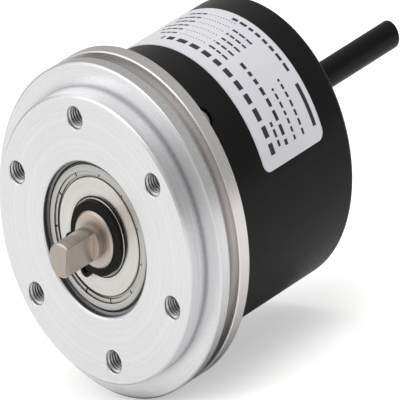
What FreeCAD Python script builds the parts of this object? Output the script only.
"""Incremental rotary encoder, 58 mm synchro flange, 6 mm solid shaft, axial cable.

Frame: millimetres. The shaft axis is Y; the shaft points to -Y and the cable leaves at +Y. Z is up.
The origin is where the shaft axis meets the flat front face of the flange, and one tapped hole is straight up.
Every function returns one node; each node is one closed solid, or a group of identical ones.
"""
import FreeCAD, Part
import math
import os

V = FreeCAD.Vector

# ---------------------------------------------------------------- driving dimensions
FLANGE_D = 58.0          # both rims of the synchro flange
PILOT_D = 50.0           # centring spigot
PILOT_L = 4.65           # front face to the first rim
RIM_END = 7.35           # first rim ends, servo groove starts
GROOVE_D = 53.0          # servo clamp groove
GROOVE_END = 10.35
REAR_RIM_END = 13.45
SPIGOT_D = 46.4          # carries the cover
BODY_END = 20.2          # rear face of the housing
HOLE_PCD = 42.0
HOLE_COUNT = 6
HOLE_R = 2.0             # M4 x 0.7, major radius
HOLE_DEPTH = 10.0
RECESS_R = 13.75         # chamfer mouth of the bearing seat, over a 13.4 mm radius counterbore
SHAFT_R = 3.0            # output end
FLAT_H = 1.6             # shaft centre to the flat
FLAT_END = -1.9
TIP = -10.3
COLLAR = -0.3            # step from 6 mm to 10 mm
JOURNAL_R = 5.0
SHAFT_END = 27.0
FLAT_ANGLE = -16.0       # direction the flat faces, from +X towards +Z
# ball bearings, 10 x 26 x 8
BR_BORE, BR_OD, BR_W = 10.0, 26.0, 8.0
BR1, BR2 = 1.2, 12.2     # front faces of the two bearings
BALL_R, PITCH_R, BALLS = 2.381, 9.0, 7
SHIELD_SLOTS = 11
# cover
COVER_D = 49.6
COVER_IN = 46.5
COVER_END = 51.3
COVER_EDGE = 1.3         # rounding of the rear corner
SCREW_Y = 16.25          # radial cover screws
SCREW_ANGLES = (41.0, 161.0, 281.0)
SINK_R = 2.5
# label
LABEL_Y0, LABEL_Y1 = 25.5, 43.9
LABEL_A0, LABEL_A1 = 8.2, 116.0
LABEL_T = 0.1
LABEL_CORNER = 1.8
# cable
CABLE_R = 2.5
CABLE_AT_R, CABLE_AT_DEG = 14.0, 34.0
CABLE_END = 81.5
CABLE_IN = 43.5
# optics
DISK_Y, DISK_T, DISK_R = 24.6, 0.6, 18.0
WINDOWS = 60
BOARD_Y, BOARD_T, BOARD_R = 28.0, 1.6, 22.6
OPT_R = 15.9             # radius of the optical path

CX = CABLE_AT_R * math.cos(math.radians(CABLE_AT_DEG))
CZ = CABLE_AT_R * math.sin(math.radians(CABLE_AT_DEG))


# ---------------------------------------------------------------- helpers
def rev(points):
    """Closed (radius, y) outline turned about the Y axis."""
    pts = [V(r, y, 0) for r, y in points]
    wire = Part.makePolygon(pts + [pts[0]])
    return Part.Face(wire).revolve(V(0, 0, 0), V(0, 1, 0), 360)


def ring(r0, r1, y0, y1):
    return rev([(r0, y0), (r1, y0), (r1, y1), (r0, y1)])


def cyl(r, y0, y1, x=0.0, z=0.0):
    return Part.makeCylinder(r, y1 - y0, V(x, y0, z), V(0, 1, 0))


def polar(r, deg):
    a = math.radians(deg)
    return r * math.cos(a), r * math.sin(a)


def radial(deg):
    x, z = polar(1.0, deg)
    return V(x, 0, z)


def spin(shape, deg):
    """Turns a shape about the Y axis so that +X goes towards +Z."""
    s = shape.copy()
    s.rotate(V(0, 0, 0), V(0, 1, 0), -deg)
    return s


def box(x0, x1, y0, y1, z0, z1):
    return Part.makeBox(x1 - x0, y1 - y0, z1 - z0, V(x0, y0, z0))


def torus(major, minor, y):
    return Part.makeTorus(major, minor, V(0, y, 0), V(0, 1, 0))


def group(shapes):
    return Part.makeCompound(shapes)


# ---------------------------------------------------------------- housing
def flange_housing():
    R = FLANGE_D / 2
    p = PILOT_D / 2
    g = GROOVE_D / 2
    s = SPIGOT_D / 2
    body = rev([
        (RECESS_R, 0), (p - 0.35, 0), (p, 0.35), (p, PILOT_L),
        (R - 0.3, PILOT_L), (R, PILOT_L + 0.3), (R, RIM_END - 0.15), (R - 0.15, RIM_END), (g, RIM_END), (g, GROOVE_END),
        (R - 0.2, GROOVE_END), (R, GROOVE_END + 0.2), (R, REAR_RIM_END - 0.25), (R - 0.25, REAR_RIM_END), (s, REAR_RIM_END),
        (s, 18.2), (s - 0.95, 18.2), (s - 0.95, 19.3), (s, 19.3), (s, BODY_END - 0.3), (s - 0.3, BODY_END),
        (13.0, BODY_END), (13.0, 11.2), (11.9, 11.2), (11.9, 9.2), (13.0, 9.2), (13.0, 1.5), (13.4, 1.4), (13.4, 0.35)])
    cuts = []
    for i in range(HOLE_COUNT):
        x, z = polar(HOLE_PCD / 2, 90 + i * 360 / HOLE_COUNT)
        cuts.append(cyl(HOLE_R, -1, HOLE_DEPTH, x, z))
        cuts.append(Part.makeCone(0.0, HOLE_R, 1.1, V(x, HOLE_DEPTH + 1.1, z), V(0, -1, 0)))
        cuts.append(Part.makeCone(HOLE_R + 0.15, HOLE_R, 0.15, V(x, 0, z), V(0, 1, 0)))
    for a in SCREW_ANGLES:
        d = radial(a)
        cuts.append(Part.makeCylinder(1.05, 5.2, d * (s + 0.2) + V(0, SCREW_Y, 0), d * -1))
    for i in range(3):
        x, z = polar(20.6, 30 + 120 * i)
        cuts.append(cyl(1.0, BODY_END - 4.5, BODY_END + 1, x, z))
        x, z = polar(14.9, 30 + 120 * i)
        cuts.append(cyl(0.8, BODY_END - 4.0, BODY_END + 1, x, z))
    for dx in (-4.6, 4.6):
        x, z = dx, 17.0
        cuts.append(cyl(0.8, BODY_END - 4.0, BODY_END + 1, x, z))
    return _cut(body, cuts)


def _cut(body, cuts):
    tool = cuts[0].fuse(cuts[1:]) if len(cuts) > 1 else cuts[0]
    return body.cut(tool)


# ---------------------------------------------------------------- bearings
def bearing_outer(y):
    r = BR_OD / 2 - 0.004
    c = 0.5
    m = y + BR_W / 2
    body = rev([(11.45, y), (r - c, y), (r, y + c), (r, y + BR_W - c), (r - c, y + BR_W), (11.45, y + BR_W),
                (11.45, y + BR_W - 1.0), (10.6, y + BR_W - 1.0), (10.6, y + 1.0), (11.45, y + 1.0)])
    return body.cut(torus(PITCH_R, BALL_R + 0.03, m))


def bearing_inner(y):
    r = BR_BORE / 2 + 0.006
    c = 0.35
    m = y + BR_W / 2
    # the lands under the shield lips are turned smaller than the shoulders of the ball track
    body = rev([(r, y + c), (r + c, y), (6.7, y), (6.86, y + 0.16), (6.86, y + 0.6), (7.2, y + 0.6), (7.2, y + BR_W - 0.6),
                (6.86, y + BR_W - 0.6), (6.86, y + BR_W - 0.16), (6.7, y + BR_W), (r + c, y + BR_W), (r, y + BR_W - c)])
    return body.cut(torus(PITCH_R, BALL_R + 0.03, m))


def balls(y):
    m = y + BR_W / 2
    out = []
    for i in range(BALLS):
        x, z = polar(PITCH_R, i * 360.0 / BALLS)
        out.append(Part.makeSphere(BALL_R, V(x, m, z)))
    return group(out)


def cage(y, side):
    """Crown cage: a ring behind the balls with one open pocket for each."""
    m = y + BR_W / 2
    a, b = (m + 0.7, m + 2.85) if side > 0 else (m - 2.85, m - 0.7)
    body = ring(7.9, 10.1, a, b)
    cuts = []
    for i in range(BALLS):
        x, z = polar(PITCH_R, i * 360.0 / BALLS)
        cuts.append(Part.makeSphere(BALL_R + 0.07, V(x, m, z)))
    return _cut(body, cuts)


def shield(y, face):
    """Pressed shield: raised flat web, a step down near the rim. face -1 looks to -Y."""
    f = (lambda t: y + t) if face < 0 else (lambda t: y + BR_W - t)
    pts = [(7.06, 0.22), (10.15, 0.22), (10.35, 0.42), (10.35, 0.72), (11.42, 0.72), (11.42, 0.97), (10.1, 0.97),
           (10.1, 0.47), (7.06, 0.47)]
    return rev([(r, f(t)) for r, t in pts])


def shield_retainer(y, face):
    """Spring ring that holds the shield in its seat, pressed as short segments joined at the back."""
    f = (lambda t: y + t) if face < 0 else (lambda t: y + BR_W - t)
    lo, hi = min(f(0.32), f(0.70)), max(f(0.32), f(0.70))
    body = ring(10.75, 11.42, lo, hi)
    cuts = []
    t0, t1 = (lo - 0.2, lo + 0.28) if face < 0 else (hi - 0.28, hi + 0.2)
    for i in range(SHIELD_SLOTS):
        cuts.append(spin(box(10.4, 12.0, t0, t1, -0.14, 0.14), 108.5 + i * 360.0 / SHIELD_SLOTS))
    return _cut(body, cuts)


def circlip(y0, gap_deg):
    """External retaining ring for a 10 mm shaft, with its two drilled lugs either side of the gap."""
    inner = JOURNAL_R - 0.33
    # the section is widest opposite the gap
    outer = Part.makeCylinder(6.45, 0.95, V(-0.3, y0, 0), V(0, 1, 0))
    lug = []
    for s in (-1, 1):
        x, z = polar(6.6, s * 25.0)
        l = Part.makeCylinder(1.35, 0.95, V(x, y0, z), V(0, 1, 0))
        neck = spin(box(4.9, 6.6, y0, y0 + 0.95, -1.1, 1.1), s * 25.0)
        lug += [l, neck]
    body = outer.fuse(lug)
    cuts = [cyl(inner, y0 - 1, y0 + 2)]
    cuts.append(box(3.0, 9.0, y0 - 1, y0 + 2, -1.5, 1.5))
    for s in (-1, 1):
        x, z = polar(6.7, s * 25.0)
        cuts.append(cyl(0.62, y0 - 1, y0 + 2, x, z))
    body = _cut(body, cuts)
    return spin(body, gap_deg)


def wave_spring():
    """Wavy preload washer between the housing shoulder and the rear bearing."""
    n, waves, t, amp, mid = 48, 3, 0.24, 0.34, 11.7

    def loop(r, dy):
        pts = []
        for i in range(n):
            a = 2 * math.pi * i / n
            pts.append(V(r * math.cos(a), mid + amp * math.sin(waves * a) + dy, r * math.sin(a)))
        c = Part.BSplineCurve()
        c.interpolate(Points=pts, PeriodicFlag=True)
        return c.toShape()

    a, b, c, d = loop(12.0, -t / 2), loop(12.8, -t / 2), loop(12.8, t / 2), loop(12.0, t / 2)
    faces = [Part.makeRuledSurface(p, q) for p, q in ((a, b), (b, c), (c, d), (d, a))]
    shell = Part.makeShell(faces)
    solid = Part.makeSolid(shell)
    if solid.Volume < 0:
        solid.reverse()
    return solid


def retainer_plate():
    body = ring(11.9, 16.4, BODY_END, BODY_END + 1.0)
    cuts = [box(-6.8, 6.8, BODY_END - 1, BODY_END + 2, 13.7, 18)]
    for i in range(3):
        x, z = polar(14.9, 30 + 120 * i)
        cuts.append(cyl(1.1, BODY_END - 1, BODY_END + 2, x, z))
    return _cut(body, cuts)


def pan_screw(x, y, z, r, head_r, head_h, length):
    """Pan-head cross-recess screw driven towards -Y, head from y upwards."""
    h = cyl(head_r, y, y + head_h, x, z)
    try:
        top = [e for e in h.Edges if abs(e.CenterOfMass.y - (y + head_h)) < 1e-6 and e.Length > head_r]
        h = h.makeFillet(head_h * 0.45, top)
    except Exception:
        pass
    s = h.fuse(cyl(r, y - length, y, x, z))
    w, l = head_r * 0.16, head_r * 0.6
    d = head_h * 0.55
    for a, b in ((l, w), (w, l)):
        s = s.cut(box(x - a, x + a, y + head_h - d, y + head_h + 1, z - b, z + b))
    return s


# ---------------------------------------------------------------- rotor
def shaft():
    body = rev([(0, TIP), (SHAFT_R - 0.35, TIP), (SHAFT_R, TIP + 0.35), (SHAFT_R, COLLAR), (JOURNAL_R - 0.35, COLLAR),
                (JOURNAL_R, COLLAR + 0.35), (JOURNAL_R, 0.14), (JOURNAL_R - 0.35, 0.14), (JOURNAL_R - 0.35, 1.17),
                (JOURNAL_R, 1.17), (JOURNAL_R, 20.25), (JOURNAL_R - 0.35, 20.25), (JOURNAL_R - 0.35, 21.25),
                (JOURNAL_R, 21.25), (JOURNAL_R, 21.6), (4.0, 21.6), (4.0, SHAFT_END - 0.3), (3.7, SHAFT_END),
                (0, SHAFT_END)])
    flat = spin(box(FLAT_H, 6, TIP - 1, FLAT_END, -6, 6), FLAT_ANGLE)
    return body.cut(flat)


def disk_hub():
    body = rev([(4.006, 21.65), (8.2, 21.65), (8.2, DISK_Y), (5.4, DISK_Y), (5.4, DISK_Y + DISK_T + 0.1),
                (4.006, DISK_Y + DISK_T + 0.1)])
    cuts = []
    for a in (0, 120, 240):
        d = radial(a)
        cuts.append(Part.makeCylinder(0.8, 5.0, d * 9.0, d * -1))
        cuts[-1].translate(V(0, 23.1, 0))
    for i in range(3):
        x, z = polar(6.9, 60 + 120 * i)
        cuts.append(cyl(0.5, DISK_Y - 2.0, DISK_Y + 2, x, z))
    return _cut(body, cuts)


def hub_set_screws():
    out = []
    for a in (0, 120, 240):
        d = radial(a)
        s = Part.makeCylinder(0.78, 3.6, d * 4.02, d)
        k = Part.makeCylinder(0.4, 1.0, d * 6.8, d)
        s = s.cut(k)
        s.translate(V(0, 23.1, 0))
        out.append(s)
    return group(out)


def code_disk():
    body = ring(5.42, DISK_R, DISK_Y, DISK_Y + DISK_T)
    cuts = []
    for i in range(WINDOWS):
        cuts.append(spin(box(14.6, 17.2, DISK_Y - 1, DISK_Y + 2, -0.38, 0.38), i * 360.0 / WINDOWS))
    cuts.append(spin(box(12.4, 13.9, DISK_Y - 1, DISK_Y + 2, -0.38, 0.38), 0))
    for i in range(3):
        x, z = polar(6.9, 60 + 120 * i)
        cuts.append(cyl(0.62, DISK_Y - 1, DISK_Y + 2, x, z))
    return body.cut(group(cuts))


def clamp_ring():
    y = DISK_Y + DISK_T
    body = ring(5.42, 8.2, y, y + 0.7)
    cuts = []
    for i in range(3):
        x, z = polar(6.9, 60 + 120 * i)
        cuts.append(cyl(0.62, y - 1, y + 2, x, z))
    return _cut(body, cuts)


def clamp_screws():
    y = DISK_Y + DISK_T + 0.7
    out = []
    for i in range(3):
        x, z = polar(6.9, 60 + 120 * i)
        out.append(pan_screw(x, y, z, 0.48, 0.95, 0.6, 2.6))
    return group(out)


# ---------------------------------------------------------------- optics and electronics
def led_holder():
    y0 = BODY_END
    b = box(-6.4, 6.4, y0, y0 + 1.6, 13.9, 19.4)
    post = box(-2.6, 2.6, y0, 24.0, 13.9, 18.9)
    body = b.fuse(post)
    body = body.cut(cyl(1.55, y0 + 0.6, 25, 0, OPT_R))
    cuts = [cyl(0.95, y0 - 1, y0 + 3, dx, 17.0) for dx in (-4.6, 4.6)]
    return _cut(body, cuts)


def led():
    y0 = BODY_END + 0.65
    body = cyl(1.5, y0, y0 + 1.4, 0, OPT_R)
    dome = Part.makeSphere(1.25, V(0, y0 + 1.4, OPT_R))
    return body.fuse(dome)


def lens():
    y0 = 23.55
    return cyl(1.5, y0, y0 + 0.4, 0, OPT_R)


def reticle():
    return box(-2.6, 2.6, 26.1, 26.6, 13.8, 18.6)


def sensor_chip():
    return box(-3.0, 3.0, 26.65, 27.95, 13.2, 18.9)


def main_board():
    body = cyl(BOARD_R, BOARD_Y, BOARD_Y + BOARD_T)
    cuts = []
    for i in range(3):
        x, z = polar(20.6, 30 + 120 * i)
        cuts.append(cyl(1.15, BOARD_Y - 1, BOARD_Y + 3, x, z))
    return _cut(body, cuts)


def standoffs():
    out = []
    for i in range(3):
        x, z = polar(20.6, 30 + 120 * i)
        s = cyl(1.9, BODY_END + 0.01, BOARD_Y - 0.01, x, z).fuse(cyl(0.95, BODY_END - 4, BODY_END + 0.5, x, z))
        s = s.cut(cyl(0.85, BOARD_Y - 4.0, BOARD_Y + 1, x, z))
        out.append(s)
    return group(out)


def board_screws():
    out = []
    for i in range(3):
        x, z = polar(20.6, 30 + 120 * i)
        out.append(pan_screw(x, BOARD_Y + BOARD_T + 0.01, z, 0.82, 1.75, 1.1, 4.5))
    return group(out)


def soic(x, z, w, l, pins):
    """Small-outline chip with gull-wing leads on two sides."""
    y = BOARD_Y + BOARD_T
    body = box(x - w / 2, x + w / 2, y + 0.15, y + 1.6, z - l / 2, z + l / 2)
    legs = []
    for i in range(pins):
        zz = z - l / 2 + (i + 0.5) * l / pins
        for s in (-1, 1):
            a, b = sorted((x + s * (w / 2 - 0.01), x + s * (w / 2 + 1.0)))
            legs.append(box(a, b, y + 0.01, y + 0.21, zz - 0.2, zz + 0.2))
    return body, legs


def chips():
    a, la = soic(-8.0, 2.0, 4.0, 9.0, 7)
    b, lb = soic(2.0, -11.0, 4.0, 5.0, 4)
    return group([a.fuse(la), b.fuse(lb)])


def passives():
    y = BOARD_Y + BOARD_T + 0.01
    out = []
    for x, z, w, l, h in ((-14.5, 6, 1.2, 2.0, 0.6), (-14.5, 2.5, 1.2, 2.0, 0.6), (-14.5, -1.0, 1.2, 2.0, 0.6),
                          (-3.0, -17.0, 2.0, 1.2, 0.6), (0.5, -17.0, 2.0, 1.2, 0.6), (4.0, -17.0, 2.0, 1.2, 0.6),
                          (-9.0, -8.0, 3.2, 1.6, 0.8), (-9.0, -11.0, 3.2, 1.6, 0.8), (-4.0, 12.5, 2.0, 1.2, 0.6),
                          (-8.0, 12.5, 2.0, 1.2, 0.6)):
        out.append(box(x - w / 2, x + w / 2, y, y + h, z - l / 2, z + l / 2))
    return group(out)


def capacitor():
    y = BOARD_Y + BOARD_T + 0.01
    return cyl(2.6, y, y + 5.4, 11.0, -9.0)


# wire connector on the board: header, pins, plug
HX, HZ = 11.6, 6.0


def header():
    y = BOARD_Y + BOARD_T + 0.01
    body = box(HX - 6.2, HX + 6.2, y, y + 5.0, HZ - 2.2, HZ + 2.2)
    body = body.cut(box(HX - 5.5, HX + 5.5, y + 1.0, y + 6, HZ - 1.5, HZ + 1.5))
    return _cut(body, [cyl(0.28, y - 1, y + 3, HX - 4.5 + 1.8 * i, HZ) for i in range(6)])


def header_pins():
    y = BOARD_Y + BOARD_T
    return group([cyl(0.27, y + 0.02, y + 3.6, HX - 4.5 + 1.8 * i, HZ) for i in range(6)])


def plug():
    y = BOARD_Y + BOARD_T + 1.2
    body = box(HX - 5.4, HX + 5.4, y, y + 5.6, HZ - 1.4, HZ + 1.4)
    return _cut(body, [cyl(0.3, y - 1, y + 2.8, HX - 4.5 + 1.8 * i, HZ) for i in range(6)]
                + [cyl(0.6, y + 3.6, y + 7, HX - 4.5 + 1.8 * i, HZ) for i in range(6)])


# ---------------------------------------------------------------- cable
WIRE_R, WIRE_RING = 0.42, 0.92
WIRE_DEG = (162, 90, 234, 306, 18)


def wire(i):
    """One insulated core, from its place in the plug to the cable end."""
    a = math.radians(WIRE_DEG[i])
    ex, ez = CX + WIRE_RING * math.cos(a), CZ + WIRE_RING * math.sin(a)
    sx, sy, sz = HX - 4.5 + 1.8 * (i if i < 3 else i + 1), BOARD_Y + BOARD_T + 1.2 + 3.7, HZ
    bend = Part.BSplineCurve()
    bend.interpolate(Points=[V(sx, sy + 2.1, sz), V(ex, CABLE_IN - 0.6, ez)], InitialTangent=V(0, 7, 0), FinalTangent=V(0, 7, 0))
    path = Part.Wire([Part.makeLine(V(sx, sy, sz), V(sx, sy + 2.1, sz)), bend.toShape(),
                      Part.makeLine(V(ex, CABLE_IN - 0.6, ez), V(ex, CABLE_END, ez))])
    prof = Part.Wire([Part.makeCircle(WIRE_R, V(sx, sy, sz), V(0, 1, 0))])
    s = path.makePipeShell([prof], True, False)
    return s.cut(cyl(0.24, CABLE_END - 3, CABLE_END + 1, ex, ez))


def copper():
    out = []
    for i in range(5):
        a = math.radians(WIRE_DEG[i])
        out.append(cyl(0.235, CABLE_END - 2.98, CABLE_END + 0.05, CX + WIRE_RING * math.cos(a), CZ + WIRE_RING * math.sin(a)))
    return group(out)


def tube(r0, r1, y0, y1):
    return cyl(r1, y0, y1, CX, CZ).cut(cyl(r0, y0 - 1, y1 + 1, CX, CZ))


def cable_jacket():
    return tube(1.85, CABLE_R, CABLE_IN, CABLE_END)


def cable_shield():
    return tube(1.5, 1.82, CABLE_IN - 0.8, CABLE_END - 0.02)


def ferrule():
    body = tube(CABLE_R + 0.01, 3.15, 44.2, 46.9)
    return body.fuse(tube(3.0, 4.4, 46.3, 46.9))


def grommet():
    """Rubber bush gripping the rear wall in its groove."""
    y = COVER_END
    pts = [(CABLE_R + 0.01, y - 4.3), (5.6, y - 4.3), (5.6, y - 1.85), (4.45, y - 1.85), (4.45, y + 0.02), (5.3, y + 0.02),
           (5.3, y + 0.9), (4.9, y + 1.3), (3.5, y + 1.5), (3.3, y + 3.2), (3.0, y + 3.5), (CABLE_R + 0.01, y + 3.5)]
    s = rev(pts)
    s.translate(V(CX, 0, CZ))
    return s


# ---------------------------------------------------------------- cover
def cover():
    ro, ri = COVER_D / 2, COVER_IN / 2
    y0, y1 = REAR_RIM_END + 0.03, COVER_END
    t = 1.8
    body = rev([(0, y1 - t), (ri - 0.6, y1 - t), (ri, y1 - t - 0.6), (ri, y0), (ro, y0), (ro, y1), (0, y1)])
    edge = [e for e in body.Edges if abs(e.CenterOfMass.y - y1) < 1e-6 and abs(e.Length - 2 * math.pi * ro) < 1e-3]
    body = body.makeFillet(COVER_EDGE, edge)
    cuts = [cyl(4.5, y1 - 4, y1 + 1, CX, CZ)]
    for a in SCREW_ANGLES:
        d = radial(a)
        for r, r0, r1 in ((1.3, 20.0, 26.0), (SINK_R, ri + 0.55, 26.0)):
            c = Part.makeCylinder(r, r1 - r0, d * r0, d)
            c.translate(V(0, SCREW_Y, 0))
            cuts.append(c)
    return _cut(body, cuts)


def cover_screws():
    out = []
    s = SPIGOT_D / 2
    for a in SCREW_ANGLES:
        # built along +Y from the head seat, then laid along the radius
        seat = COVER_IN / 2 + 0.57
        b = pan_screw(0, 0, 0, 1.03, 2.1, 0.85, 4.9)
        b.rotate(V(0, 0, 0), V(0, 0, 1), -90)          # +Y to +X
        b.translate(V(seat, 0, 0))
        b = spin(b, a)
        b.translate(V(0, SCREW_Y, 0))
        out.append(b)
    return group(out)


def o_ring():
    return torus(SPIGOT_D / 2 - 0.45, 0.45, 18.75)


def label():
    ri, ro = COVER_D / 2 + 0.005, COVER_D / 2 + LABEL_T
    sector = Part.makeCylinder(ro, LABEL_Y1 - LABEL_Y0, V(0, LABEL_Y0, 0), V(0, 1, 0), LABEL_A1 - LABEL_A0)
    sector = sector.cut(cyl(ri, LABEL_Y0 - 1, LABEL_Y1 + 1))
    # find where the sector starts, and turn it onto its place
    sector = sector.Solids[0]
    c = sector.CenterOfMass
    now = math.degrees(math.atan2(c.z, c.x))
    sector = spin(sector, (LABEL_A0 + LABEL_A1) / 2 - now)
    corners = [e for e in sector.Edges if abs(e.Length - (ro - ri)) < 1e-4]
    try:
        sector = sector.makeFillet(LABEL_CORNER, corners)
    except Exception:
        pass
    return sector


# ---------------------------------------------------------------- every node
NODES = {
    "flange_housing": flange_housing,
    "front_bearing_outer_ring": lambda: bearing_outer(BR1),
    "front_bearing_front_shield": lambda: shield(BR1, -1),
    "front_bearing_rear_shield": lambda: shield(BR1, 1),
    "front_bearing_front_shield_ring": lambda: shield_retainer(BR1, -1),
    "front_bearing_rear_shield_ring": lambda: shield_retainer(BR1, 1),
    "rear_bearing_outer_ring": lambda: bearing_outer(BR2),
    "rear_bearing_front_shield": lambda: shield(BR2, -1),
    "rear_bearing_rear_shield": lambda: shield(BR2, 1),
    "rear_bearing_front_shield_ring": lambda: shield_retainer(BR2, -1),
    "rear_bearing_rear_shield_ring": lambda: shield_retainer(BR2, 1),
    "preload_wave_spring": wave_spring,
    "bearing_retainer_plate": retainer_plate,
    "retainer_plate_screws": lambda: group([pan_screw(*(lambda p: (p[0], BODY_END + 1.01, p[1]))(polar(14.9, 30 + 120 * i)), 0.78, 1.3, 0.8, 3.9) for i in range(3)]),
    "shaft": shaft,
    "front_circlip": lambda: circlip(0.18, -150.0),
    "rear_circlip": lambda: circlip(20.27, 60.0),
    "front_bearing_inner_ring": lambda: bearing_inner(BR1),
    "rear_bearing_inner_ring": lambda: bearing_inner(BR2),
    "inner_ring_spacer": lambda: ring(5.02, 6.7, BR1 + BR_W + 0.005, BR2 - 0.005),
    "disk_hub": disk_hub,
    "hub_set_screws": hub_set_screws,
    "code_disk": code_disk,
    "disk_clamp_ring": clamp_ring,
    "disk_clamp_screws": clamp_screws,
    "front_bearing_balls": lambda: balls(BR1),
    "front_bearing_cage": lambda: cage(BR1, 1),
    "rear_bearing_balls": lambda: balls(BR2),
    "rear_bearing_cage": lambda: cage(BR2, 1),
    "led_holder": led_holder,
    "led_holder_screws": lambda: group([pan_screw(dx, BODY_END + 1.61, 17.0, 0.78, 1.3, 0.8, 4.9) for dx in (-4.6, 4.6)]),
    "infrared_led": led,
    "collimating_lens": lens,
    "reticle_plate": reticle,
    "photo_sensor": sensor_chip,
    "main_board": main_board,
    "board_standoffs": standoffs,
    "board_screws": board_screws,
    "driver_chips": chips,
    "chip_passives": passives,
    "supply_capacitor": capacitor,
    "wire_header": header,
    "wire_header_pins": header_pins,
    "wire_plug": plug,
    "wire_black": lambda: wire(0),
    "wire_white": lambda: wire(1),
    "wire_orange": lambda: wire(2),
    "wire_brown": lambda: wire(3),
    "wire_blue": lambda: wire(4),
    "wire_copper_cores": copper,
    "cable_shield_braid": cable_shield,
    "cable_jacket": cable_jacket,
    "cable_crimp_ferrule": ferrule,
    "cable_grommet": grommet,
    "rear_cover": cover,
    "cover_screws": cover_screws,
    "cover_o_ring": o_ring,
    "nameplate_label": label,
}

if __name__ == "__main__":
    os.makedirs("parts", exist_ok=True)
    for name, make in NODES.items():
        shape = make()
        bad = [s for s in shape.Solids if not s.isValid() or s.Volume <= 0]
        print(name, len(shape.Solids), "solids", round(shape.Volume, 2), "BAD" if bad or not shape.Solids else "")
        shape.exportStep(os.path.join("parts", name + ".step"))
    print(len(NODES), "nodes")
